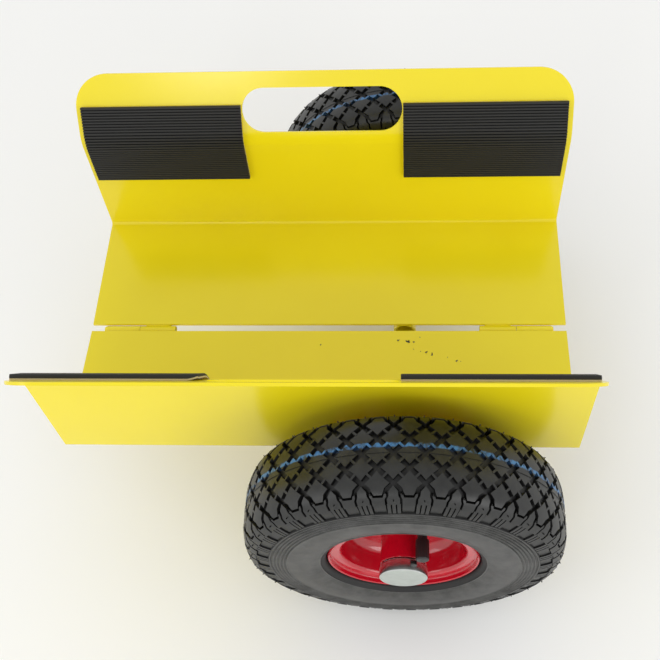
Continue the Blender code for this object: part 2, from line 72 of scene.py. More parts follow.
# Hinge
EDGE_INSET = 0.0038          # from the pin's axis out to the plate's edge
PIN_DROP = 0.0042            # from the sheet's upper side down to the pin's axis
RUN_GAP = 0.0003             # clearance between pieces
KNUCKLE_RADIUS = math.hypot(EDGE_INSET, PIN_DROP - SHEET) - RUN_GAP
KNUCKLE_LENGTH = 0.0323
HINGE_OFFSET = PLATE_WIDTH / 2 - 0.0435
PIN_RADIUS = 0.0024
KNUCKLE_EDGE = 0.0007
WELD_RIPPLE = 0.0016         # from one puddle of weld to the next

# Grip pads
PAD_WIDTH = 0.1385
PAD_SIDE_MARGIN = 0.0047
PAD_BELOW_KINK = 0.0454
PAD_ABOVE_KINK = 0.0298
PAD_THICKNESS = 0.0030
BACKING_THICKNESS = 0.0012
PAD_RIBS = 31
RIB_HEIGHT = 0.0014
PEEL_LENGTH = 0.0085
PEEL_RISE = 0.0022
HAND_LAID_SHIFT = 0.0025     # how far out the pad with the loose end was stuck
HAND_LAID_SHORTER = 0.0016
TAPE_LIFT = RUN_GAP * 0.3    # the tape over the plate
TAPE_CLEAR = 0.00002         # the pad over the tape

# Axle
AXLE_RADIUS = 0.0100
AXLE_WALL = 0.0020
AXLE_DROP = PIN_DROP - SHEET - RUN_GAP - AXLE_RADIUS
AXLE_LEAN = math.radians(1.9)
WHEEL_CENTRE = 0.1752
HUB_HALF_LENGTH = 0.035
HUB_RADIUS = 0.018
HUB_WALL = 0.0017
WASHER_RADIUS = 0.0165
WASHER_THICKNESS = 0.0015
COLLAR_RADIUS = 0.0145
COLLAR_LENGTH = 0.007
CAP_RADIUS = 0.0189
CAP_LENGTH = 0.0092
CAP_SHEET = 0.002
TURNED_EDGE = 0.0003
AXLE_WELD_LENGTH = 0.034
AXLE_WELD_RADIUS = 0.0022

# Rim halves
RIM_SHEET = 0.0018
LIP_RADIUS = 0.0600
LIP_PLANE = 0.0310
FLANGE_PLANE = 0.0272
BEAD_SEAT_RADIUS = 0.0508

# Valve
VALVE_RADIUS = 0.0039
VALVE_FROM_AXLE = 0.0272
VALVE_PLANE = 0.008
VALVE_BEND_RADIUS = 0.008
VALVE_ANGLE = math.radians(57.5)
VALVE_TIP = 0.036
VALVE_CAP_RADIUS = 0.0053
VALVE_CAP_START = 0.0236
VALVE_CAP_LENGTH = 0.0164
VALVE_CAP_FLUTES = 16
VALVE_HOLE_CLEAR = 0.0005

# Tyre: its outside from the middle of the tread to the rim lip, as (radius, height)
TYRE_RADIUS = 0.1275
TYRE_SECTION = [(TYRE_RADIUS, 0.0), (0.1276, 0.0135), (0.1243, 0.0262), (0.1176, 0.0334),
                (0.1056, 0.0371), (0.0860, 0.0388), (0.0735, 0.0378), (0.0659, 0.0354),
                (0.0632, 0.0347), (0.0612, 0.0334), (0.0604, 0.0314), (0.0603, 0.0292)]
TREAD_DEPTH = 0.0033
SHOULDER_EXTRA = 0.0016      # how much deeper the grooves are where the lugs start
PITCHES = 35                 # tread patterns round the tyre
TREAD_TURN = math.radians(-4.9)  # how the pattern stands to the ground in the photograph
PITCH = 2 * math.pi * TYRE_RADIUS / PITCHES
ROW = 0.01135                # from one row of blocks to the next, across the tread
STEP = PITCH / 2             # the same along the tread
CROSS_REACH = 0.0026         # from the middle of a cross-shaped groove to the blocks' tips
ARM_END = 0.00655            # how far from there its arms end, along the block's side
ARM_SIDE = 0.00350           # and across it
BLOCK_CHAMFER = 0.00042
TREAD_FOOT = TREAD_DEPTH + SHOULDER_EXTRA + 0.0005  # how far down the blocks' walls reach
SLANT = 0.7071               # sine and cosine of the bridges between blocks, at 45 degrees
NUB_LENGTH = 0.0016          # rubber left where the mould's vents were
RING_RADIUS = 0.1056         # where the shoulder lugs end
RIBS_RADIUS = 0.0915         # where the sidewall's fine ribs end
SIDE_RIBS = 5
BEAD_LINE_RADIUS = 0.0657
CAVITY_FOOT = 0.0598         # the space for the inner tube
CAVITY_TOP = 0.119
CAVITY_HALF_WIDTH = 0.0345
DYE_INBOARD = 0.0050         # how far inboard of the tread's middle the dyed line starts
DYE_WANDER = 0.0022
DYE_HALF_WIDTH = 0.0012
DYE_FADED = 0.0020           # where the line has faded out


# Places

def half_place(side):
    turn = math.pi if side == "front" else 0.0
    return (Matrix.Translation(PIN) @ Matrix.Rotation(turn, 4, "Z")
            @ Matrix.Rotation(REST_SLOPE, 4, "X"))


def half_x_sign(side):
    """+1 where a half's own X points the same way as the dolly's."""
    return -1 if side == "front" else 1


def axle_place(side):
    foot = Vector((half_x_sign(side) * WHEEL_X, EDGE_INSET, AXLE_DROP))
    lean = Matrix.Rotation(-math.pi / 2 - AXLE_LEAN, 4, "X")
    return half_place(side) @ Matrix.Translation(foot) @ lean


def wheel_place(side):
    return axle_place(side) @ Matrix.Translation((0, 0, WHEEL_CENTRE))


# Meshes and pieces

def smooth_faces(mesh, limit=math.radians(32)):
    shape = bmesh.new()
    shape.from_mesh(mesh)
    for face in shape.faces:
        face.smooth = True
    for edge in shape.edges:
        edge.smooth = edge.calc_face_angle(math.pi) < limit
    shape.to_mesh(mesh)
    shape.free()


def add_object(name, data):
    thing = bpy.data.objects.new(name, data)
    bpy.context.scene.collection.objects.link(thing)
    return thing


def add_piece(name, mesh, finishes, body, place, stands_for=()):
    """Smooths a mesh and puts it in place. Its faces' index picks among several finishes."""
    smooth_faces(mesh)
    kinds = [face.material_index for face in mesh.polygons]
    mesh.materials.clear()
    for finish in finishes if isinstance(finishes, tuple) else (finishes,):
        mesh.materials.append(finish)
    mesh.polygons.foreach_set("material_index", kinds)
    piece = add_object(name, mesh)
    piece.matrix_world = place
    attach(piece, body)
    if stands_for:
        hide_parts(*stands_for)
    return piece


def soften(piece, width, segments=2):
    """Rounds a piece's hard edges, without touching its smooth curves."""
    bevel = piece.modifiers.new("Edges", "BEVEL")
    bevel.width = width
    bevel.segments = segments
    bevel.limit_method = "ANGLE"
    bevel.angle_limit = math.radians(38)
    bevel.harden_normals = True
    return piece


def made_mesh(shape, name):
    """The shape's mesh, with every face turned outward."""
    bmesh.ops.recalc_face_normals(shape, faces=shape.faces)
    mesh = bpy.data.meshes.new(name)
    shape.to_mesh(mesh)
    shape.free()
    return mesh


def cut_across(shape, place, facing):
    """Adds the edges where a plane meets the shape."""
    everything = shape.verts[:] + shape.edges[:] + shape.faces[:]
    bmesh.ops.bisect_plane(shape, geom=everything, dist=TOUCHING, plane_co=place, plane_no=facing)


def mesh_as_seen(thing):
    """The mesh that an object's settings and modifiers give."""
    graph = bpy.context.evaluated_depsgraph_get()
    return bpy.data.meshes.new_from_object(thing.evaluated_get(graph))


def add_line(curve, points):
    spline = curve.splines.new("POLY")
    spline.points.add(len(points) - 1)
    for point, place in zip(spline.points, points):
        point.co = (*place, 1.0)
    return spline


def curve_mesh(curve):
    """The mesh of a filled or tube-like curve."""
    carrier = add_object(curve.name + "_curve", curve)
    mesh = mesh_as_seen(carrier)
    bpy.data.objects.remove(carrier, do_unlink=True)
    return mesh


def join_rings(shape, here, there, closed=True):
    """Faces between two lines of points, and between their ends where they are closed."""
    for j in range(len(here) if closed else len(here) - 1):
        k = (j + 1) % len(here)
        shape.faces.new((here[j], there[j], there[k], here[k]))


def lathe(name, profile, steps, closed=True):
    """Turns (radius, height) points about Z. The profile runs with its solid side to its right."""
    shape = bmesh.new()
    rings = []
    for i in range(steps):
        angle = 2 * math.pi * i / steps
        rings.append([shape.verts.new((r * math.cos(angle), r * math.sin(angle), z))
                      for r, z in profile])
    for here, there in zip(rings, rings[1:] + rings[:1]):
        join_rings(shape, here, there, closed)
    bmesh.ops.remove_doubles(shape, verts=shape.verts, dist=TOUCHING)
    return made_mesh(shape, name)


def rounded(points, radii, steps=5):
    """An open path whose inner corners are turned into arcs of the given radii."""
    path = [Vector(points[0])]
    for before, corner, after, radius in zip(points, points[1:], points[2:], radii):
        before, corner, after = Vector(before), Vector(corner), Vector(after)
        back = (before - corner).normalized()
        ahead = (after - corner).normalized()
        half = back.angle(ahead) / 2
        if radius == 0.0 or half > math.radians(89):
            path.append(corner)
            continue
        reach = radius / math.tan(half)
        centre = corner + (back + ahead).normalized() * radius / math.sin(half)
        start, end = corner + back * reach - centre, corner + ahead * reach - centre
        sweep = start.angle_signed(end)
        for i in range(steps + 1):
            path.append(centre + Matrix.Rotation(-sweep * i / steps, 2) @ start)
    path.append(Vector(points[-1]))
    return [(p.x, p.y) for p in path]


def thickened(path, thickness):
    """Closed section of a sheet from its middle line."""
    sides = ([], [])
    for i, point in enumerate(path):
        before = Vector(path[max(i - 1, 0)])
        after = Vector(path[min(i + 1, len(path) - 1)])
        along = (after - before).normalized()
        across = Vector((-along.y, along.x)) * thickness / 2
        sides[0].append(tuple(Vector(point) + across))
        sides[1].append(tuple(Vector(point) - across))
    return sides[0] + sides[1][::-1]


def ring_section(inner, outer, low, high):
    return [(inner, high), (outer, high), (outer, low), (inner, low)]


# Bent sheet

def bend_stations():
    """Where the two bends start and end, and where the sheet ends, along its trough side."""
    crease_tangent = CREASE_RADIUS * math.tan(CREASE_ANGLE / 2)
    kink_tangent = KINK_RADIUS * math.tan(KINK_ANGLE / 2)
    crease_start = LOWER_RUN - crease_tangent
    crease_end = crease_start + CREASE_RADIUS * CREASE_ANGLE
    kink_start = crease_end + UPRIGHT_RUN - crease_tangent - kink_tangent
    kink_end = kink_start + KINK_RADIUS * KINK_ANGLE
    return crease_start, crease_end, kink_start, kink_end, kink_end + FLARE_RUN - kink_tangent


CREASE_START, CREASE_END, KINK_START, KINK_END, SHEET_TOP = bend_stations()
KINK = (KINK_START + KINK_END) / 2


def toward(heading):
    return Vector((math.cos(heading), math.sin(heading)))


def bent_point(station, height):
    """(Y, Z) of a point at a station along the sheet and a height above its trough side."""
    place = Vector((EDGE_INSET, PIN_DROP))
    place.x += min(station, CREASE_START)
    heading = 0.0
    if station > CREASE_START:
        heading = (min(station, CREASE_END) - CREASE_START) / CREASE_RADIUS
        place += CREASE_RADIUS * Vector((math.sin(heading), 1 - math.cos(heading)))
    if station > CREASE_END:
        place += (min(station, KINK_START) - CREASE_END) * toward(heading)
    if station > KINK_START:
        angle = (min(station, KINK_END) - KINK_START) / KINK_RADIUS
        across = Vector((math.sin(heading), -math.cos(heading)))
        place += KINK_RADIUS * (math.sin(angle) * toward(heading) + (1 - math.cos(angle)) * across)
        heading -= angle
    if station > KINK_END:
        place += (station - KINK_END) * toward(heading)
    return place + height * Vector((-math.sin(heading), math.cos(heading)))


def arc(centre, radius, start, end, count):
    points = []
    for i in range(count + 1):
        angle = start + (end - start) * i / count
        points.append((centre[0] + radius * math.cos(angle), centre[1] + radius * math.sin(angle)))
    return points


def plate_loops():
    half = PLATE_WIDTH / 2
    centre = SHEET_TOP - CORNER_RADIUS
    outline = [(-half, 0.0), (half, 0.0)]
    outline += arc((half - CORNER_RADIUS, centre), CORNER_RADIUS, 0.0, math.pi / 2, 20)
    outline += arc((CORNER_RADIUS - half, centre), CORNER_RADIUS, math.pi / 2, math.pi, 20)
    middle = KINK + SLOT_ABOVE_KINK
    end = SLOT_LENGTH / 2 - SLOT_HEIGHT / 2
    slot = arc((end, middle), SLOT_HEIGHT / 2, -math.pi / 2, math.pi / 2, 24)
    slot += arc((-end, middle), SLOT_HEIGHT / 2, math.pi / 2, 3 * math.pi / 2, 24)
    return [outline, slot]


def plate_mesh(name):
    """Flat blank with its slot, cut across wherever it bends and then carried round the bends."""
    curve = bpy.data.curves.new(name, "CURVE")
    curve.dimensions = "2D"
    curve.fill_mode = "BOTH"
    curve.extrude = SHEET / 2
    for loop in plate_loops():
        add_line(curve, [(x, station, 0.0) for x, station in loop]).use_cyclic_u = True
    blank = curve_mesh(curve)
    shape = bmesh.new()
    shape.from_mesh(blank)
    bpy.data.meshes.remove(blank)
    bmesh.ops.remove_doubles(shape, verts=shape.verts, dist=0.00001)
    bmesh.ops.dissolve_limit(shape, angle_limit=0.001, verts=shape.verts, edges=shape.edges)
    cuts = [CREASE_START + (CREASE_END - CREASE_START) * i / 10 for i in range(11)]
    cuts += [KINK_START + (KINK_END - KINK_START) * i / 16 for i in range(17)]
    for station in cuts:
        cut_across(shape, (0, station, 0), (0, 1, 0))
    for vert in shape.verts:
        y, z = bent_point(vert.co.y, vert.co.z - SHEET / 2)
        vert.co = (vert.co.x, y, z)
    return made_mesh(shape, name)


def strip_mesh(name, sign, columns, rows, under, over):
    """A closed strip on the kink. rows are stations; under and over give heights at (in, row)."""
    outer = PLATE_WIDTH / 2 - PAD_SIDE_MARGIN
    shape = bmesh.new()
    layers = ([], [])
    for inward in columns:
        for layer, height in zip(layers, (under, over)):
            line = []
            for j, station in enumerate(rows):
                ragged = 0.0
                if inward in (columns[0], columns[-1]):
                    ragged = 0.0003 * noise.noise((j * 0.7, sign * 5.0, inward * 100))
                y, z = bent_point(station, height(inward, j))
                line.append(shape.verts.new((sign * (outer - inward + ragged), y, z)))
            layer.append(line)
    low, high = layers
    for i in range(len(columns) - 1):
        for j in range(len(rows) - 1):
            shape.faces.new((high[i][j], high[i + 1][j], high[i + 1][j + 1], high[i][j + 1]))
            shape.faces.new((low[i][j], low[i][j + 1], low[i + 1][j + 1], low[i + 1][j]))
        for j in (0, len(rows) - 1):
            shape.faces.new((low[i][j], low[i + 1][j], high[i + 1][j], high[i][j]))
    for i in (0, len(columns) - 1):
        for j in range(len(rows) - 1):
            shape.faces.new((low[i][j], high[i][j], high[i][j + 1], low[i][j + 1]))
    return made_mesh(shape, name)


PEEL_END = PAD_WIDTH - HAND_LAID_SHIFT - HAND_LAID_SHORTER


def peel(inward):
    """How far the loose end of a pad has come off the plate, by the distance from its outer end."""
    share = min(max((inward - (PEEL_END - PEEL_LENGTH)) / PEEL_LENGTH, 0.0), 1.0)
    return PEEL_RISE * share ** 1.4


def pad_columns(peeled):
    if not peeled:
        return [0.0, PAD_WIDTH]
    start = PEEL_END - PEEL_LENGTH
    return [-HAND_LAID_SHIFT, start / 2] + [start + PEEL_LENGTH * i / 14 for i in range(15)]


def pad_rows():
    """Stations over the ribs, with each one's share of a rib's height."""
    rise = [(0.0, 0.0), (0.16, 0.0), (0.24, 0.82), (0.34, 1.0), (0.80, 1.0), (0.90, 0.82)]
    start = KINK - PAD_BELOW_KINK
    pitch = (PAD_BELOW_KINK + PAD_ABOVE_KINK) / PAD_RIBS
    rows = []
    for rib in range(PAD_RIBS):
        rows += [(start + pitch * (rib + share), height) for share, height in rise]
    return rows + [(start + pitch * PAD_RIBS, 0.0)]


def add_pad(side, hand, sign, peeled):
    """A ribbed pad and the foam tape behind it, on the half's end at sign * X."""
    rows = pad_rows()
    stations = [station for station, _ in rows]
    foot = TAPE_LIFT + BACKING_THICKNESS
    valley = foot + PAD_THICKNESS - RIB_HEIGHT + 0.0001
    columns = pad_columns(peeled)
    lift = peel if peeled else (lambda inward: 0.0)
    curl = dict.fromkeys(columns, 0.0)
    if peeled:
        curl.update({columns[-1]: 0.0014, columns[-2]: 0.0004})

    def pad_foot(inward, j):
        return foot + lift(inward) - curl[inward] * 0.5

    def pad_top(inward, j):
        rib = valley + RIB_HEIGHT * rows[j][1] + 0.1 * lift(inward) - curl[inward]
        return max(rib, pad_foot(inward, j) + 0.0005)

    def tape_top(inward, j):
        return pad_foot(inward, j) - TAPE_CLEAR

    def tape_foot(inward, j):
        return TAPE_LIFT + lift(inward) - curl[inward] * 0.5

    for kind, name, rows_at, under, over, finish, slot in (
            ("ribbed_", side + "_pad_" + hand, stations, pad_foot, pad_top,
             RIBBED_RUBBER, "pad_rubber"),
            ("tape_", side + "_pad_backing_" + hand, stations[::6] + stations[-1:], tape_foot,
             tape_top, FOAM_TAPE, "pad_backing")):
        strip = strip_mesh(kind + name, sign, columns, rows_at, under, over)
        add_piece(kind + name, strip, finish, side + "_half", half_place(side), [name])


# Welds, hinges and the axle

def weld_mesh(name, length, radius, seed, sides=10):
    """A run of weld along X: overlapping puddles, a little uneven, drawn in at both ends."""
    shape = bmesh.new()
    count = max(int(length / WELD_RIPPLE * 5), 8)
    rings = []
    for i in range(count + 1):
        along = i / count
        x = length * (along - 0.5)
        taper = math.sqrt(max(1 - (2 * along - 1) ** 6, 0.02))
        puddle = 0.86 + 0.14 * abs(math.sin(math.pi * x / WELD_RIPPLE))
        ring = []
        for j in range(sides):
            angle = 2 * math.pi * j / sides
            rough = 1 + 0.16 * noise.noise((x * 900, math.cos(angle) * 1.5, math.sin(angle) + seed))
            reach = radius * taper * puddle * rough
            ring.append(shape.verts.new((x, reach * math.cos(angle), reach * math.sin(angle))))
        rings.append(ring)
    for here, there in zip(rings, rings[1:]):
        join_rings(shape, here, there)
    shape.faces.new(rings[0])
    shape.faces.new(rings[-1][::-1])
    return made_mesh(shape, name)


def add_hinge(hand, x_sign):
    """The rear half has the inner knuckle and the pin, and the front half the outer knuckle."""
    bore = PIN_RADIUS + RUN_GAP
    inner_end = HINGE_OFFSET - RUN_GAP / 2 - KNUCKLE_LENGTH
    outer_end = HINGE_OFFSET + RUN_GAP / 2 + KNUCKLE_LENGTH
    ends = {"rear": (inner_end, HINGE_OFFSET - RUN_GAP / 2),
            "front": (HINGE_OFFSET + RUN_GAP / 2, outer_end)}
    for seed, side in enumerate(("rear", "front")):
        name = "hinge_" + hand + "_" + side + "_knuckle"
        low, high = ends[side]
        section = ring_section(bore, KNUCKLE_RADIUS, low, high)
        if side == "front":
            section[1:2] = [(KNUCKLE_RADIUS - 0.0009, high), (KNUCKLE_RADIUS, high - 0.0022)]
        knuckle = lathe(name, section, 40)
        outward = x_sign * half_x_sign(side)
        place = half_place(side) @ Matrix.Rotation(outward * math.pi / 2, 4, "Y")
        soften(add_piece("barrel_" + name, knuckle, POWDER_COAT, side + "_half",
                         place, [name]), KNUCKLE_EDGE, 3)
        x = outward * sum(ends[side]) / 2
        for face, (y, z, radius) in {"over": (0.0034, 0.0029, 0.0008),
                                     "under": (0.0043, 0.0010, 0.0012)}.items():
            weld = weld_mesh("weld", KNUCKLE_LENGTH * 0.72, radius, seed + 3 * x_sign + 7 * z)
            add_piece("weld_" + face + "_" + name, weld, POWDER_COAT,
                      side + "_half", half_place(side) @ Matrix.Translation((x, y, z)))
    name = "hinge_" + hand + "_pin"
    end, start = outer_end - 0.001, inner_end + 0.001
    dome = 0.0006
    pin = lathe(name, [(0.0, end), (PIN_RADIUS - dome, end), (PIN_RADIUS, end - dome),
                       (PIN_RADIUS, start + dome), (PIN_RADIUS - dome, start), (0.0, start)], 32,
                closed=False)
    add_piece("rod_" + name, pin, BRIGHT_STEEL, "rear_half",
              half_place("rear") @ Matrix.Rotation(x_sign * math.pi / 2, 4, "Y"), [name])


def add_axle(side):
    body = side + "_half"
    place = axle_place(side)
    hub_inner = WHEEL_CENTRE - HUB_HALF_LENGTH - RUN_GAP
    hub_outer = WHEEL_CENTRE + HUB_HALF_LENGTH + RUN_GAP
    cap_start = hub_outer + WASHER_THICKNESS + RUN_GAP
    cap_end = cap_start + CAP_LENGTH
    seat = AXLE_RADIUS + RUN_GAP
    tube = lathe(side + "_tube", ring_section(AXLE_RADIUS - AXLE_WALL, AXLE_RADIUS,
                                              AXLE_RADIUS * math.sin(AXLE_LEAN),
                                              cap_end - CAP_SHEET - RUN_GAP), 56)
    soften(add_piece("tube_" + side + "_axle", tube, POWDER_COAT, body, place,
                     [side + "_axle_tube"]), TURNED_EDGE)
    for seed, reach in enumerate((-1, 1)):
        weld = weld_mesh("weld", AXLE_WELD_LENGTH, AXLE_WELD_RADIUS, seed + 20)
        lie = Matrix.Translation((reach * 0.0062, -0.0086, 0.0195))  # in the tube's two corners
        add_piece("weld_" + side + "_axle_" + ("near" if reach > 0 else "far"), weld, POWDER_COAT,
                  body, place @ lie @ Matrix.Rotation(math.pi / 2, 4, "Y"))
    collar_high = hub_inner - WASHER_THICKNESS - RUN_GAP
    for name, inner, outer, low, high in (
            ("axle_collar", seat, COLLAR_RADIUS, collar_high - COLLAR_LENGTH, collar_high),
            ("inner_washer", seat, WASHER_RADIUS, hub_inner - WASHER_THICKNESS, hub_inner),
            ("outer_washer", seat, WASHER_RADIUS, hub_outer, hub_outer + WASHER_THICKNESS)):
        ring = lathe(name, ring_section(inner, outer, low, high), 64)
        soften(add_piece("turned_" + side + "_" + name, ring, ZINC_PLATE, body, place,
                         [side + "_" + name]), TURNED_EDGE)
    floor = cap_end - CAP_SHEET
    section = [(0.0, cap_end), (CAP_RADIUS - 0.0011, cap_end),
               (CAP_RADIUS - 0.0006, cap_end - 0.00012),
               (CAP_RADIUS - 0.0001, cap_end - 0.0006), (CAP_RADIUS, cap_end - 0.0011),
               (CAP_RADIUS, cap_start + 0.0006), (CAP_RADIUS - 0.0006, cap_start),
               (seat, cap_start), (seat, floor), (0.0, floor)]
    cap = lathe(side + "_cap", section, 96, closed=False)
    for face in cap.polygons:
        face.material_index = int(face.normal.z > 0.95)
    add_piece("pressed_" + side + "_axle_cap", cap, (TURNED_CAP, DULL_CAP), body,
              place, [side + "_axle_cap"])


# Tyre

def catmull(points, steps):
    """Smooth line through the points, which is mirrored at its first one."""
    first = (points[1][0], -points[1][1])
    guides = [Vector(p) for p in [first] + list(points) + [points[-1]]]
    line = []
    for a, b, c, d in zip(guides, guides[1:], guides[2:], guides[3:]):
        for i in range(steps):
            t = i / steps
            line.append(0.5 * (2 * b + (c - a) * t + (2 * a - 5 * b + 4 * c - d) * t ** 2
                               + (3 * b - a - 3 * c + d) * t ** 3))
    return line + [guides[-1]]


SECTION = catmull(TYRE_SECTION, 8)
ALONG = [0.0]
for START, END in zip(SECTION, SECTION[1:]):
    ALONG.append(ALONG[-1] + (END - START).length)


def section_at(along, depth):
    """(radius, height) at a distance from the tread's middle and a depth under the outside."""
    reach = min(abs(along), ALONG[-1] - 0.000001)
    i = max(j for j, value in enumerate(ALONG[:-1]) if value <= reach)
    share = (reach - ALONG[i]) / (ALONG[i + 1] - ALONG[i])
    point = SECTION[i].lerp(SECTION[i + 1], share)
    before, after = SECTION[max(i - 1, 0)], SECTION[min(i + 2, len(SECTION) - 1)]
    heading = (SECTION[i + 1] - before).normalized().lerp((after - SECTION[i]).normalized(), share)
    if i == 0:
        heading = Vector((0, 1)).lerp((after - SECTION[0]).normalized(), share)
    outward = Vector((heading.y, -heading.x)).normalized()
    point = point - outward * depth
    return point.x, math.copysign(point.y, along if along else 1.0)


def along_at(radius):
    """Distance from the tread's middle to where the outside has this radius."""
    return next(value for value, point in zip(ALONG, SECTION) if point.x <= radius)


RING_ALONG = along_at(RING_RADIUS)
RIBS_ALONG = along_at(RIBS_RADIUS)
BEAD_ALONG = along_at(BEAD_LINE_RADIUS)


def block_outline():
    """A tread block: a diamond whose sides are cut by the arms of the four crosses round it."""
    tip_u, tip_v = STEP - CROSS_REACH, ROW - CROSS_REACH
    quarter = [(tip_u, 0.0), (STEP - ARM_END, ARM_SIDE), (ARM_SIDE, ROW - ARM_END)]
    loop = []
    for turn_u, turn_v, order in ((1, 1, 1), (-1, 1, -1), (-1, -1, 1), (1, -1, -1)):
        corners = [(turn_u * u, turn_v * v) for u, v in quarter + [(0.0, tip_v)]]
        loop += corners[:-1] if order == 1 else corners[:0:-1]
    return loop


def mirrored(side):
    return side + [(-u, v) for u, v in side[::-1]]


def cut_block_outline():
    """The last row's block, cut off flat where the shoulder starts."""
    upper = [(u, v) for u, v in block_outline() if v <= 0.0]
    upper = upper[1:] + upper[:1]
    return upper + mirrored([(0.0049, 0.0035), (0.0044, 0.0054), (0.0030, 0.0084)])


def eared_lug_outline():
    return mirrored([(0.0036, 0.0101), (0.0046, 0.0078), (0.0060, 0.0071), (0.0061, 0.0090),
                     (0.0049, 0.0114), (0.0048, 0.0168)])


def pointed_lug_outline():
    side = [(0.0033, 0.0056), (0.0035, 0.0088), (0.0048, 0.0114), (0.0048, 0.0160)]
    return [(0.0, 0.0016)] + mirrored(side)


def bar_outline(half_width, start, end):
    return [(half_width, start), (half_width, end), (-half_width, end), (-half_width, start)]


def moved(outline, u, v, side=1):
    return [(u + x, side * (v + y)) for x, y in outline]


def raise_block(shape, outline, drop=0.0, chamfer=BLOCK_CHAMFER, foot=TREAD_FOOT):
    """Walls from the tread's floor to a chamfered top, in flat (along, across, up) axes."""
    area = sum(a[0] * b[1] - b[0] * a[1] for a, b in zip(outline, outline[1:] + outline[:1]))
    if area < 0:
        outline = outline[::-1]
    middle = sum((Vector(p) for p in outline), Vector((0, 0))) / len(outline)
    shoulder = [shape.verts.new((u, v, -drop - chamfer)) for u, v in outline]
    base = []
    for point in outline:
        spread = (Vector(point) - middle).normalized() * 0.0003
        base.append(shape.verts.new((point[0] + spread.x, point[1] + spread.y, -foot)))
    for i in range(len(outline)):
        k = (i + 1) % len(outline)
        # The walls take finish 1: darker rubber, painted with the shade that falls in the grooves.
        shape.faces.new((base[i], base[k], shoulder[k], shoulder[i])).material_index = 1
    top = shape.faces.new(shoulder)
    bmesh.ops.inset_individual(shape, faces=[top], thickness=chamfer, depth=chamfer,
                               use_even_offset=True)


def raise_nub(shape, u, v):
    """A stub of rubber, as the mould's vents leave."""
    bmesh.ops.create_cone(shape, segments=6, radius1=0.00055, radius2=0.00040, depth=NUB_LENGTH,
                          matrix=Matrix.Translation((u, v, NUB_LENGTH / 2 - 0.0004)))


def tread_pitch():
    """One repeat of the tread, flat: blocks, the bridges between them and both shoulders' lugs."""
    shape = bmesh.new()
    for row in (-1, 0, 1):
        raise_block(shape, moved(block_outline(), STEP if row == 0 else 0.0, row * ROW))
    line = bar_outline(0.0002, -0.0078, 0.0078)
    raise_block(shape, [(STEP + v, u) for u, v in line], drop=-0.0002, chamfer=0.00008, foot=0.0002)
    edge = 2 * ROW
    low = RING_ALONG - edge + 0.0004
    lugs = [(cut_block_outline(), STEP, -0.0003), (eared_lug_outline(), STEP, -0.0007),
            (pointed_lug_outline(), 0.0, -0.0005), (bar_outline(0.0049, 0.0174, low), STEP, 0.0009)]
    lugs += [(bar_outline(0.0014, 0.0157, low), u, -0.0001) for u in (-0.0039, 0.0, 0.0039)]
    for side in (-1, 1):
        for outline, u, drop in lugs:
            raise_block(shape, moved(outline, u, edge, side), drop)
        for u, v in ((STEP + 0.0052, 0.0080), (0.0, 0.0122)):
            raise_nub(shape, u, side * (edge + v))
    for row in range(-2, 2):
        for column in (0, 1):
            lean = 1 if (row + column) % 2 else -1
            bridge = bar_outline(0.00085, -0.0026, 0.0026)
            bar = [(SLANT * (v - u * lean), SLANT * (u + v * lean)) for u, v in bridge]
            centre = ((column + 0.5) * STEP, (row + 0.5) * ROW)
            raise_block(shape, moved(bar, *centre), drop=0.00006, chamfer=0.0002)
    planes = [((STEP * (0.25 * i - 1.5), 0, 0), (1, 0, 0)) for i in range(16)]
    across = [0.004 * i for i in range(-5, 6)]
    across += [side * (0.0226 + 0.0021 * i) for side in (-1, 1) for i in range(14)]
    planes += [((0, v, 0), (0, 1, 0)) for v in across]
    for place, facing in planes:
        cut_across(shape, place, facing)
    return shape


def carcass_profile():
    """The tread's floor, the ring under the lugs, the fine ribs, the plain wall and the bead."""
    line = []
    for i in range(16):
        extra = SHOULDER_EXTRA * min(max((i - 4) / 6, 0.0), 1.0)
        line.append((RING_ALONG * 0.97 * i / 15, TREAD_DEPTH + extra))
    line += [(RING_ALONG + past, depth) for past, depth in
             ((-0.0006, 0.0016), (-0.0002, 0.0001), (0.0004, -0.0002), (0.0011, -0.0001))]
    pitch = (RIBS_ALONG - RING_ALONG - 0.0016) / SIDE_RIBS
    for rib in range(SIDE_RIBS):
        start = RING_ALONG + 0.0016 + pitch * rib
        line += [(start + pitch * share, depth) for share, depth in
                 ((0.10, 0.0010), (0.35, 0.0010), (0.52, 0.0002), (0.68, 0.0), (0.86, 0.0002))]
    wall = BEAD_ALONG - 0.0010 - RIBS_ALONG
    line += [(RIBS_ALONG + wall * i / 15, 0.0003) for i in range(16)]
    line += [(BEAD_ALONG + past, depth) for past, depth in
             ((-0.0004, -0.0002), (0.0002, -0.0004), (0.0009, 0.0002), (0.0016, 0.0006))]
    rest = ALONG[-1] - BEAD_ALONG - 0.0016
    line += [(BEAD_ALONG + 0.0016 + rest * i / 5, 0.0006) for i in range(1, 6)]
    half = [section_at(*place) for place in line]
    bead_plane = FLANGE_PLANE - RIM_SHEET - RUN_GAP
    foot = BEAD_SEAT_RADIUS + RUN_GAP
    half += [(0.0601, bead_plane), (foot, bead_plane), (foot, bead_plane - 0.0095)]
    middle = (CAVITY_FOOT + CAVITY_TOP) / 2
    for i in range(9):
        angle = math.radians(-52 + 142 * i / 8)
        half.append((middle + 0.0296 * math.sin(angle), CAVITY_HALF_WIDTH * math.cos(angle)))
    return [(r, -z) for r, z in half[::-1]] + half[1:-1]


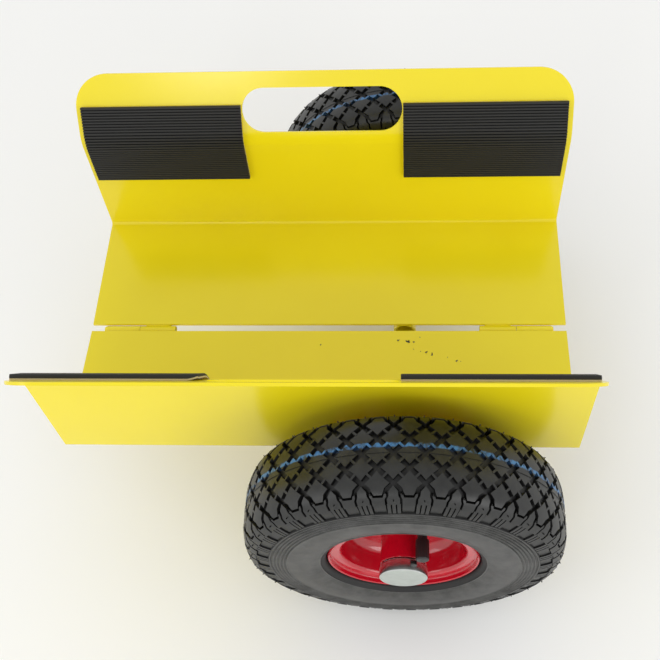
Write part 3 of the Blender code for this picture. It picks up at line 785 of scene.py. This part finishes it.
def tyre_mesh():
    carcass = lathe("carcass", carcass_profile(), PITCHES * 5)
    points = [tuple(v.co) for v in carcass.vertices]
    faces = [tuple(f.vertices) for f in carcass.polygons]
    kinds = []
    for face in carcass.polygons:
        radius = math.hypot(*face.center.xy)
        # The tread's floor and the bead take finish 1, darker rubber painted with the shade in the
        # grooves and in the gap at the rim; the plain wall takes finish 2.
        groove_or_bead_shade = radius > RING_RADIUS - 0.0006 or radius < BEAD_LINE_RADIUS - 0.0004
        kinds.append(1 if groove_or_bead_shade else 2)
    bpy.data.meshes.remove(carcass)
    flat = tread_pitch()
    flat.verts.ensure_lookup_table()
    flat.verts.index_update()
    places = [(v.co.x / TYRE_RADIUS, *section_at(v.co.y, -v.co.z)) for v in flat.verts]
    blocks = [[v.index for v in f.verts] for f in flat.faces]
    block_kinds = [f.material_index for f in flat.faces]
    flat.free()
    for pitch in range(PITCHES):
        first = len(points)
        turn = TREAD_TURN + 2 * math.pi * pitch / PITCHES
        kinds += block_kinds
        for angle, radius, height in places:
            points.append((radius * math.cos(angle + turn), radius * math.sin(angle + turn),
                           height))
        faces += [[first + i for i in face] for face in blocks]
    mesh = bpy.data.meshes.new("tyre")
    mesh.from_pydata(points, [], faces)
    mesh.polygons.foreach_set("material_index", kinds)
    return mesh


# Rim, hub and valve

def rim_path():
    """Middle line of a rim half, from its curled lip over the bead seat and down the bowl."""
    half = RIM_SHEET / 2
    seat = BEAD_SEAT_RADIUS - half
    flange = FLANGE_PLANE - half
    disc = half + RUN_GAP / 2
    corners = [(LIP_RADIUS - half, LIP_PLANE - 0.0002), (LIP_RADIUS - 0.0014, flange),
               (seat, flange - 0.0002), (seat - 0.0004, disc), (0.0290, disc),
               (0.0255, disc + 0.0022), (HUB_RADIUS + RUN_GAP, disc + 0.0022)]
    return rounded(corners, [0.0022, 0.0026, 0.0120, 0.0040, 0.0030], 7)


def curled_end(path):
    """Rounds the free end of the lip's section."""
    section = thickened(path, RIM_SHEET)
    head = Vector(path[0])
    out = (head - Vector(path[1])).normalized()
    tip = head + out * RIM_SHEET * 0.42
    return [tuple(tip)] + section


def valve_place(x_sign, radius, height):
    across = radius * math.cos(VALVE_ANGLE)
    return Vector((x_sign * across, -radius * math.sin(VALVE_ANGLE), height))


def valve_turn(x_sign):
    """Turns +X to the valve's direction in the wheel's axes."""
    angle = math.atan2(-math.sin(VALVE_ANGLE), x_sign * math.cos(VALVE_ANGLE))
    return Matrix.Rotation(angle, 4, "Z")


def drill(piece, place, radius, depth):
    """Cuts a round hole through the piece along X of the place, and keeps the cut mesh."""
    shape = bmesh.new()
    bmesh.ops.create_cone(shape, cap_ends=True, segments=40, radius1=radius, radius2=radius,
                          depth=depth, matrix=Matrix.Rotation(math.pi / 2, 4, "Y"))
    tool = add_object("drill", made_mesh(shape, "drill"))
    tool.matrix_world = place
    cut = piece.modifiers.new("Hole", "BOOLEAN")
    cut.operation = "DIFFERENCE"
    cut.solver = "EXACT"
    cut.object = tool
    holed = mesh_as_seen(piece)
    piece.modifiers.remove(cut)
    piece.data = holed
    bpy.data.objects.remove(tool, do_unlink=True)
    smooth_faces(holed)


def add_rims(side, x_sign):
    body = side + "_wheel"
    place = wheel_place(side)
    outer = curled_end(rim_path())
    inner = [(r, -z) for r, z in outer[::-1]]
    disc = lathe(side + "_rim_outer", outer, 144)
    piece = add_piece("pressed_" + side + "_rim_outer", disc, RED_ENAMEL, body, place,
                      [side + "_rim_outer"])
    middle = Matrix.Translation((BEAD_SEAT_RADIUS - 0.003, 0, VALVE_PLANE))
    hole = place @ valve_turn(x_sign) @ middle
    drill(piece, hole, VALVE_RADIUS + VALVE_HOLE_CLEAR, 0.026)
    disc = lathe(side + "_rim_inner", inner, 144)
    add_piece("pressed_" + side + "_rim_inner", disc, RED_ENAMEL, body, place,
              [side + "_rim_inner"])
    hub = lathe(side + "_hub", ring_section(HUB_RADIUS - HUB_WALL, HUB_RADIUS, -HUB_HALF_LENGTH,
                                            HUB_HALF_LENGTH), 72)
    soften(add_piece("welded_" + side + "_hub", hub, RED_ENAMEL, body, place,
                     [side + "_hub"]), TURNED_EDGE)
    for face in (-1, 1):
        weld = lathe("fillet", fillet_section(face), 96)
        for vert in weld.vertices:
            angle = math.atan2(vert.co.y, vert.co.x)
            ripple = 1 + 0.012 * abs(math.sin(angle * 26)) + 0.008 * noise.noise(vert.co * 250)
            vert.co = Vector((vert.co.x * ripple, vert.co.y * ripple, vert.co.z))
        add_piece("weld_" + side + "_hub_" + ("out" if face > 0 else "in"), weld, RED_ENAMEL,
                  body, place)


def fillet_section(face):
    """Section of the weld between the hub and the rim's disc, on one side of the disc."""
    foot, hollow = RIM_SHEET + 0.0022, 0.0022
    line = [(-0.0004, 0.0028)]
    line += [(0.0024 - hollow * math.cos(a), 0.0026 - hollow * math.sin(a)) for a in (0.3, 0.7, 1.1)]
    line += [(0.0030, -0.0002), (-0.0004, -0.0004)]
    return [(HUB_RADIUS + out, face * (foot + up)) for out, up in line]


def add_valve(side, x_sign):
    """Rubber stem from the inner tube, round its bend and out, and the fluted cap on its end."""
    body = side + "_wheel"
    place = wheel_place(side)
    corner = (VALVE_FROM_AXLE + VALVE_BEND_RADIUS, VALVE_PLANE + VALVE_BEND_RADIUS)
    route = [(radius, VALVE_PLANE) for radius in (CAVITY_FOOT, 0.052, 0.044)]
    for i in range(11):
        angle = math.pi / 2 * i / 10
        route.append((corner[0] - VALVE_BEND_RADIUS * math.sin(angle),
                      corner[1] - VALVE_BEND_RADIUS * math.cos(angle)))
    route += [(VALVE_FROM_AXLE, 0.024), (VALVE_FROM_AXLE, VALVE_TIP)]
    curve = bpy.data.curves.new(side + "_stem", "CURVE")
    curve.dimensions = "3D"
    curve.bevel_depth = VALVE_RADIUS
    curve.bevel_resolution = 6
    curve.use_fill_caps = True
    add_line(curve, [valve_place(x_sign, radius, height) for radius, height in route])
    add_piece("moulded_" + side + "_valve_stem", curve_mesh(curve), BUTYL_RUBBER,
              body, place, [side + "_valve_stem"])
    low, high = VALVE_CAP_START, VALVE_CAP_START + VALVE_CAP_LENGTH
    bore = VALVE_RADIUS + RUN_GAP
    corners = [(0.0, high), (VALVE_CAP_RADIUS, high), (VALVE_CAP_RADIUS, low), (bore, low)]
    section = rounded(corners, [0.0015, 0.0005], 6)
    section += [(bore, VALVE_TIP + RUN_GAP), (0.0, VALVE_TIP + RUN_GAP)]
    cap = lathe(side + "_valve_cap", section, 96, closed=False)
    for vert in cap.vertices:
        radius = math.hypot(*vert.co.xy)
        if radius > VALVE_CAP_RADIUS - 0.0002 and low + 0.001 < vert.co.z < high - 0.001:
            angle = math.atan2(vert.co.y, vert.co.x)
            flute = 0.985 + 0.015 * math.cos(VALVE_CAP_FLUTES * angle)
            vert.co = Vector((vert.co.x * flute, vert.co.y * flute, vert.co.z))
    add_piece("fluted_" + side + "_valve_cap", cap, CAP_PLASTIC, body,
              place @ Matrix.Translation(valve_place(x_sign, VALVE_FROM_AXLE, 0.0)),
              [side + "_valve_cap"])


# Finishes

def linear(hex_code):
    """sRGB hex to the linear colour that the shaders take."""
    channels = [int(hex_code[i:i + 2], 16) / 255 for i in (1, 3, 5)]
    return (*[c / 12.92 if c <= 0.04045 else ((c + 0.055) / 1.055) ** 2.4 for c in channels], 1.0)


def per(size_mm):
    """Texture scale for a pattern that repeats at about this size."""
    return 1000 / size_mm


def add_node(tree, kind, inputs=None, **settings):
    """Adds a node, sets it up, and fills its inputs with values or links."""
    node = tree.nodes.new(kind)
    for name, value in settings.items():
        setattr(node, name, value)
    for name, value in (inputs or {}).items():
        if isinstance(value, bpy.types.NodeSocket):
            tree.links.new(value, node.inputs[name])
        else:
            node.inputs[name].default_value = value
    return node


def new_finish(name, **values):
    """A material with its shader, whose constant values are set on its own sockets."""
    finish = bpy.data.materials.new(name)
    finish.use_nodes = True
    tree = finish.node_tree
    shader = tree.nodes["Principled BSDF"]
    for key, value in values.items():
        shader.inputs[key.replace("_", " ")].default_value = value
    where = add_node(tree, "ShaderNodeTexCoord").outputs["Object"]
    return finish, tree, where


def laid_on(finish, colour, rough, relief):
    """Links what varies over the surface to the finish's shader."""
    shader = finish.node_tree.nodes["Principled BSDF"]
    for socket, value in (("Base Color", colour), ("Roughness", rough), ("Normal", relief)):
        finish.node_tree.links.new(value, shader.inputs[socket])
    return finish


def varied(finish, pattern, colours, roughness, relief, strength, depth):
    """Colour and roughness that follow one pattern between two ends, with a fine relief."""
    tree = finish.node_tree
    film = add_node(tree, "ShaderNodeMix", {0: pattern, 6: linear(colours[0]),
                                            7: linear(colours[1])}, data_type="RGBA")
    rough = add_node(tree, "ShaderNodeMapRange", {"Value": pattern, "To Min": roughness[0],
                                                  "To Max": roughness[1]})
    bump = add_node(tree, "ShaderNodeBump", {"Height": relief, "Strength": strength,
                                             "Distance": depth})
    return laid_on(finish, film.outputs[2], rough.outputs[0], bump.outputs[0])


def powder_coat(name, chips=()):
    """Powder-coated steel: a gloss film, a faint orange peel, and dark chips where boards stand."""
    finish, tree, where = new_finish(name, IOR=1.5)
    cloud = add_node(tree, "ShaderNodeTexNoise", {"Vector": where, "Scale": per(60), "Detail": 3.0})
    film = add_node(tree, "ShaderNodeMix", {0: cloud.outputs[0], 6: linear("#EAD614"),
                                            7: linear("#EEDC1C")}, data_type="RGBA")
    grime = add_node(tree, "ShaderNodeTexNoise", {"Vector": where, "Scale": per(9), "Detail": 6.0,
                                                  "Roughness": 0.7})
    smear = add_node(tree, "ShaderNodeMapRange", {"Value": grime.outputs[0], "From Min": 0.35,
                                                  "From Max": 0.75, "To Min": 0.17, "To Max": 0.22})
    peel_noise = add_node(tree, "ShaderNodeTexNoise", {"Vector": where, "Scale": per(1.7),
                                                       "Detail": 1.0})
    bump = add_node(tree, "ShaderNodeBump", {"Height": peel_noise.outputs[0], "Strength": 0.10,
                                             "Distance": 0.0001})
    colour, rough = film.outputs[2], smear.outputs[0]
    if chips:
        wobble = add_node(tree, "ShaderNodeTexNoise", {"Vector": where, "Scale": per(2.2),
                                                       "Detail": 4.0})
        spread = add_node(tree, "ShaderNodeVectorMath", {0: wobble.outputs[1], 1: (0.5, 0.5, 0.5)},
                          operation="SUBTRACT")
        shift = add_node(tree, "ShaderNodeVectorMath", {0: spread.outputs[0], "Scale": 0.0045},
                         operation="SCALE")
        ragged = add_node(tree, "ShaderNodeVectorMath", {0: where, 1: shift.outputs[0]})
        bare = None
        for x, y, radius in chips:
            reach = add_node(tree, "ShaderNodeVectorMath", {0: ragged.outputs[0],
                                                            1: (x, y, PIN_DROP)},
                             operation="DISTANCE")
            spot = add_node(tree, "ShaderNodeMath", {0: reach.outputs["Value"], 1: radius},
                            operation="LESS_THAN").outputs[0]
            bare = spot if bare is None else add_node(
                tree, "ShaderNodeMath", {0: bare, 1: spot}, operation="MAXIMUM").outputs[0]
        worn = add_node(tree, "ShaderNodeMix", {0: bare, 6: colour, 7: linear("#1E1B18")},
                        data_type="RGBA")
        dull = add_node(tree, "ShaderNodeMix", {0: bare, 2: rough, 3: 0.6}, data_type="FLOAT")
        colour, rough = worn.outputs[2], dull.outputs[0]
    return laid_on(finish, colour, rough, bump.outputs[0])


def red_enamel():
    """Sprayed gloss enamel on pressed steel: deep colour, sharp reflections, slight waviness."""
    finish, tree, where = new_finish("red_gloss_enamel", IOR=1.5, Coat_Weight=0.6,
                                     Coat_Roughness=0.03)
    cloud = add_node(tree, "ShaderNodeTexNoise", {"Vector": where, "Scale": per(14), "Detail": 3.0})
    wave = add_node(tree, "ShaderNodeTexNoise", {"Vector": where, "Scale": per(4)})
    return varied(finish, cloud.outputs[0], ("#B4081E", "#C40E26"), (0.12, 0.22),
                  wave.outputs[0], 0.10, 0.0002)


def ribbed_rubber():
    """Extruded rubber strip: near black, matt, with fine drag lines along its ribs and pale dust."""
    finish, tree, where = new_finish("extruded_ribbed_rubber", IOR=1.52)
    stretch = add_node(tree, "ShaderNodeMapping", {"Vector": where, "Scale": (0.05, 1.0, 1.0)})
    drag = add_node(tree, "ShaderNodeTexNoise", {"Vector": stretch.outputs[0], "Scale": per(0.5),
                                                 "Detail": 2.0})
    dust = add_node(tree, "ShaderNodeTexNoise", {"Vector": where, "Scale": per(6), "Detail": 7.0,
                                                 "Roughness": 0.75})
    return varied(finish, dust.outputs[0], ("#0D0D0D", "#191918"), (0.48, 0.68),
                  drag.outputs[0], 0.35, 0.0001)


def foam_tape():
    """Closed-cell foam tape: cream and soft, with the 0.4 mm cells of a sliced edge."""
    finish, tree, where = new_finish("cream_foam_tape", IOR=1.45, Subsurface_Weight=0.12,
                                     Subsurface_Scale=0.001)
    cells = add_node(tree, "ShaderNodeTexVoronoi", {"Vector": where, "Scale": per(0.4)})
    return varied(finish, cells.outputs["Distance"], ("#D8CAA6", "#BBAA80"), (0.8, 0.95),
                  cells.outputs["Distance"], 0.4, 0.0002)


def tyre_rubber(name, light, dark, dyed_share, low, high):
    """Vulcanised tyre rubber: charcoal with a grey bloom, and a dyed line round the tread."""
    finish, tree, where = new_finish(name, IOR=1.52)
    parts = add_node(tree, "ShaderNodeSeparateXYZ", {"Vector": where})
    flat = add_node(tree, "ShaderNodeCombineXYZ", {"X": parts.outputs[0], "Y": parts.outputs[1]})
    radius = add_node(tree, "ShaderNodeVectorMath", {0: flat.outputs[0]}, operation="LENGTH")
    bloom = add_node(tree, "ShaderNodeTexNoise", {"Vector": where, "Scale": per(11), "Detail": 8.0,
                                                  "Roughness": 0.7})
    patch = add_node(tree, "ShaderNodeMapRange", {"Value": bloom.outputs[0], "From Min": 0.34,
                                                  "From Max": 0.66})
    film = add_node(tree, "ShaderNodeMix", {0: patch.outputs[0], 6: linear(dark),
                                            7: linear(light)}, data_type="RGBA")
    fray = add_node(tree, "ShaderNodeTexNoise", {"Vector": where, "Scale": per(3), "Detail": 4.0})
    edge = add_node(tree, "ShaderNodeMath", {0: fray.outputs[0], 1: DYE_WANDER, 2: DYE_INBOARD},
                    operation="MULTIPLY_ADD")
    off = add_node(tree, "ShaderNodeMath", {0: parts.outputs[2], 1: edge.outputs[0]})
    away = add_node(tree, "ShaderNodeMath", {0: off.outputs[0]}, operation="ABSOLUTE")
    band = add_node(tree, "ShaderNodeMapRange", {"Value": away.outputs[0], "To Min": 1.0,
                                                 "From Min": DYE_HALF_WIDTH, "To Max": 0.0,
                                                 "From Max": DYE_FADED})
    crown = add_node(tree, "ShaderNodeMapRange", {"Value": radius.outputs["Value"],
                                                  "From Min": TYRE_RADIUS - 0.0045,
                                                  "From Max": TYRE_RADIUS - 0.0018})
    cover = add_node(tree, "ShaderNodeMapRange", {"Value": bloom.outputs[0], "From Min": 0.41,
                                                  "From Max": 0.54})
    dyed = band.outputs[0]
    for share in (crown.outputs[0], cover.outputs[0], dyed_share):
        dyed = add_node(tree, "ShaderNodeMath", {0: dyed, 1: share},
                        operation="MULTIPLY").outputs[0]
    dye = add_node(tree, "ShaderNodeMix", {0: fray.outputs[0], 6: linear("#174C88"),
                                           7: linear("#4C92CC")}, data_type="RGBA")
    colour = add_node(tree, "ShaderNodeMix", {0: dyed, 6: film.outputs[2],
                                              7: dye.outputs[2]}, data_type="RGBA")
    rough = add_node(tree, "ShaderNodeMapRange", {"Value": bloom.outputs[0], "To Min": low,
                                                  "To Max": high})
    grain = add_node(tree, "ShaderNodeTexNoise", {"Vector": where, "Scale": per(0.8),
                                                  "Detail": 4.0})
    bump = add_node(tree, "ShaderNodeBump", {"Height": grain.outputs[0], "Strength": 0.25,
                                             "Distance": 0.0001})
    return laid_on(finish, colour.outputs[2], rough.outputs[0], bump.outputs[0])


def plain_rubber(name, light, dark, grain_mm, low, high):
    """Moulded black rubber or plastic: a fine mould texture and slightly uneven gloss."""
    finish, tree, where = new_finish(name, IOR=1.5)
    grain = add_node(tree, "ShaderNodeTexNoise", {"Vector": where, "Scale": per(grain_mm),
                                                  "Detail": 4.0})
    return varied(finish, grain.outputs[0], (dark, light), (low, high), grain.outputs[0], 0.2,
                  0.0001)


def plated_steel(name, light, dark, low, high, ring_mm=0.0):
    """Zinc-plated or bright steel: a metal with faint spangle and, where turned, fine lathe rings."""
    finish, tree, where = new_finish(name, Metallic=1.0)
    spangle = add_node(tree, "ShaderNodeTexNoise", {"Vector": where, "Scale": per(5),
                                                    "Detail": 6.0, "Roughness": 0.7})
    relief = spangle.outputs[0]
    if ring_mm:
        rings = add_node(tree, "ShaderNodeTexWave", {"Vector": where, "Scale": per(ring_mm) / 20,
                                                     "Distortion": 0.4, "Detail": 2.0},
                         wave_type="RINGS", rings_direction="Z")
        relief = rings.outputs[0]
    return varied(finish, spangle.outputs[0], (dark, light), (low, high), relief, 0.12, 0.00005)


POWDER_COAT = powder_coat("yellow_powder_coat")
RED_ENAMEL = red_enamel()
RIBBED_RUBBER = ribbed_rubber()
FOAM_TAPE = foam_tape()
TYRE_RUBBER = tyre_rubber("vulcanised_tyre_rubber", "#212221", "#0C0D0C", 0.85, 0.28, 0.48)
# A darker copy of the tyre rubber, painted with the shade in the grooves and in the gap between the
# bead and the rim.
GROOVE_SHADE_RUBBER = tyre_rubber("groove_shade_tyre_rubber", "#0C0C0C", "#060606", 0.35, 0.5, 0.65)
# A lighter copy of the tyre rubber for the sidewall: partly the rubber's grey bloom, partly a painted
# sheen for the light the curved wall reflects.
SIDEWALL_RUBBER = tyre_rubber("bloom_and_sheen_sidewall_rubber", "#4A4A48", "#20211F", 0.0, 0.32, 0.52)
BUTYL_RUBBER = plain_rubber("moulded_butyl_rubber", "#2A2A29", "#1C1C1C", 0.7, 0.45, 0.6)
CAP_PLASTIC = plain_rubber("moulded_polypropylene", "#222222", "#161616", 0.9, 0.28, 0.42)
ZINC_PLATE = plated_steel("bright_zinc_plate", "#E2E6E4", "#C6CCCA", 0.24, 0.42)
TURNED_CAP = plated_steel("turned_zinc_plate", "#D8DAD8", "#A8ABAA", 0.12, 0.24, ring_mm=0.7)
DULL_CAP = plated_steel("dull_zinc_plate", "#D6DCD7", "#B2B9B4", 0.46, 0.66)
BRIGHT_STEEL = plated_steel("bright_drawn_steel", "#D2D2D4", "#A9AAAC", 0.2, 0.35)

# Chipped paint on the front plate's lower run, as (X, Y, radius) in the front half's axes
PAINT_CHIPS = [(-0.0645, 0.0140, 0.0011), (-0.0732, 0.0150, 0.0015), (-0.0783, 0.0159, 0.0010),
               (-0.0835, 0.0111, 0.0005), (-0.0779, 0.0231, 0.0006), (-0.0845, 0.0264, 0.0006),
               (-0.0893, 0.0269, 0.0010), (-0.0942, 0.0288, 0.0009), (-0.1076, 0.0321, 0.0004),
               (-0.1158, 0.0353, 0.0009), (-0.1188, 0.0363, 0.0006), (0.0039, 0.0189, 0.0007)]

COATS = {"rear": POWDER_COAT, "front": powder_coat("yellow_powder_coat_chipped", PAINT_CHIPS)}

for SIDE in ("rear", "front"):
    soften(add_piece("bent_" + SIDE + "_plate", plate_mesh(SIDE + "_plate"), COATS[SIDE],
                     SIDE + "_half", half_place(SIDE), [SIDE + "_plate"]),
           SHEET_EDGE, 3)
    for HAND in ("right", "left"):
        SIGN = half_x_sign(SIDE) * (1 if HAND == "right" else -1)
        add_pad(SIDE, HAND, SIGN, SIDE == "front" and HAND == "left")
    add_axle(SIDE)

TYRE = tyre_mesh()
for SIDE in ("rear", "front"):
    add_piece("treaded_" + SIDE + "_tyre", TYRE if SIDE == "rear" else TYRE.copy(),
              (TYRE_RUBBER, GROOVE_SHADE_RUBBER, SIDEWALL_RUBBER), SIDE + "_wheel",
              wheel_place(SIDE), [SIDE + "_tyre"])
    add_rims(SIDE, half_x_sign(SIDE))
    add_valve(SIDE, half_x_sign(SIDE))
    frame["nodes"][SIDE + "_inner_tube"].material_slots[0].material = BUTYL_RUBBER
    for PLACE in ("outer", "inner"):
        frame["nodes"][SIDE + "_bearing_" + PLACE].material_slots[0].material = BRIGHT_STEEL

for HAND, SIGN in (("right", 1), ("left", -1)):
    add_hinge(HAND, SIGN)


# Studio

LIT_PLACE = Vector((0, 0, 0.2))  # what the lamps point at


def add_floor():
    shape = bmesh.new()
    bmesh.ops.create_grid(shape, x_segments=1, y_segments=1, size=6.0)
    mesh = bpy.data.meshes.new("floor")
    shape.to_mesh(mesh)
    shape.free()
    mesh.materials.append(new_finish("white_paper_floor", Roughness=0.9,
                                     Base_Color=linear("#FAFAF8"))[0])
    floor = add_object("floor", mesh)
    floor.location = (0, 0, -0.0005)


def add_light(name, place, size, power):
    light = bpy.data.lights.new(name, "AREA")
    light.shape = "RECTANGLE"
    light.size, light.size_y = size
    light.energy = power
    lamp = add_object(name, light)
    lamp.location = place
    lamp.rotation_euler = (LIT_PLACE - Vector(place)).to_track_quat("-Z", "Y").to_euler()


def add_camera():
    """Placed by fitting the plates' corners, bends and the wheel to the photograph."""
    camera = bpy.data.cameras.new("camera")
    camera.lens = 53.94
    camera.sensor_width = 36.0
    camera.shift_x = -0.0393
    camera.shift_y = 0.0133
    view = add_object("camera", camera)
    turn = (Matrix.Rotation(0.1075, 4, "Z") @ Matrix.Rotation(math.pi / 2 - 1.0001, 4, "X")
            @ Matrix.Rotation(-0.0905, 4, "Z"))
    view.matrix_world = Matrix.Translation((0.0779, -0.4827, PIN.z + 0.7418)) @ turn
    bpy.context.scene.camera = view


def light_room():
    """A white tent whose walls are brighter than its roof."""
    world = bpy.data.worlds.new("studio")
    world.use_nodes = True
    tent = world.node_tree
    facing = add_node(tent, "ShaderNodeTexCoord").outputs["Generated"]
    height = add_node(tent, "ShaderNodeSeparateXYZ", {"Vector": facing}).outputs["Z"]
    glow = add_node(tent, "ShaderNodeMapRange", {"Value": height, "From Min": 0.1, "From Max": 0.9,
                                                 "To Min": 1.14, "To Max": 0.80})
    tent.nodes["Background"].inputs["Color"].default_value = linear("#FFFFFF")
    tent.links.new(glow.outputs[0], tent.nodes["Background"].inputs["Strength"])
    bpy.context.scene.world = world
    bpy.context.scene.view_settings.view_transform = "Standard"


add_floor()
light_room()
add_light("softbox_left", (-1.8, -1.2, 1.1), (1.0, 1.0), 5)
add_light("softbox_right", (1.5, -1.7, 0.9), (1.0, 1.0), 9)
add_light("softbox_key", (-0.45, -1.55, 1.16), (0.28, 0.28), 2.0)
add_camera()
